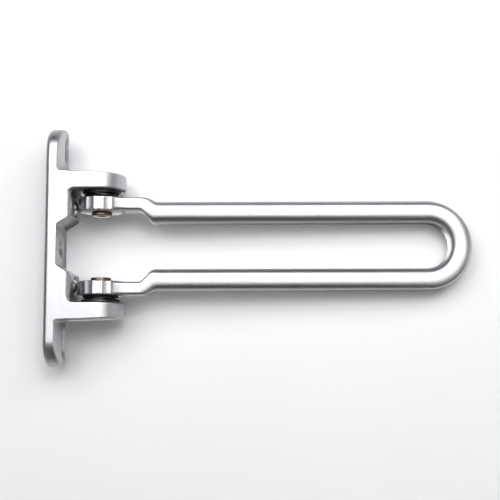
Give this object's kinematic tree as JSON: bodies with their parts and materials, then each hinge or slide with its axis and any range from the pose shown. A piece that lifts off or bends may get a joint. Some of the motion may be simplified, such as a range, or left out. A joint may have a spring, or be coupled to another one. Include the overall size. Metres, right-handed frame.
{
  "type": "door guard",
  "caption": "Swing-arm door guard: slim base with two ears and a looped arm on pivot pins, held at each angle by sprung plungers.",
  "frame": {"origin": "centre of the middle screw hole, in the back face of the base", "axes": "+X out of the back face along the resting arm, +Z along the pivot pins towards the upper end of the base, +Y across the base"},
  "size_m": [0.1937, 0.024, 0.109],
  "materials": {
    "satin_casting": "satin silver lacquer on a zinc die casting, with slight orange peel",
    "pin_steel": "bright turned steel with a brown tint",
    "black_nylon": "moulded matt black",
    "spring_steel": "dull plated steel",
    "polished_steel": "polished"
  },
  "bodies": {
    "base": {"base_casting": "satin_casting", "pivot_pin_upper": "pin_steel", "pivot_pin_lower": "pin_steel", "wave_washer_upper": "spring_steel", "wave_washer_lower": "spring_steel", "steel_washer_upper": "spring_steel", "steel_washer_lower": "spring_steel", "plunger_spring_upper": "spring_steel", "plunger_spring_lower": "spring_steel", "spring_plug_upper": "spring_steel", "spring_plug_lower": "spring_steel"},
    "arm": {"swing_arm": "satin_casting", "eye_bush_upper": "black_nylon", "eye_bush_lower": "black_nylon"},
    "plunger_upper_body": {"plunger_upper": "polished_steel"},
    "plunger_lower_body": {"plunger_lower": "polished_steel"}
  },
  "joints": [
    {"name": "arm_swing", "type": "hinge", "parent": "base", "child": "arm", "pos_m": [0.0239, 0, 0], "axis": [0, 0, 1], "range_deg": [-90, 90]},
    {"name": "plunger_upper_slide", "type": "slide", "parent": "base", "child": "plunger_upper_body", "axis": [1, 0, 0], "range_m": [-0.0012, 0], "stiffness_N_per_m": 1500, "springref_m": 0.002, "deforming": ["plunger_spring_upper"]},
    {"name": "plunger_lower_slide", "type": "slide", "parent": "base", "child": "plunger_lower_body", "axis": [1, 0, 0], "range_m": [-0.0012, 0], "stiffness_N_per_m": 1500, "springref_m": 0.002, "deforming": ["plunger_spring_lower"]}
  ]
}
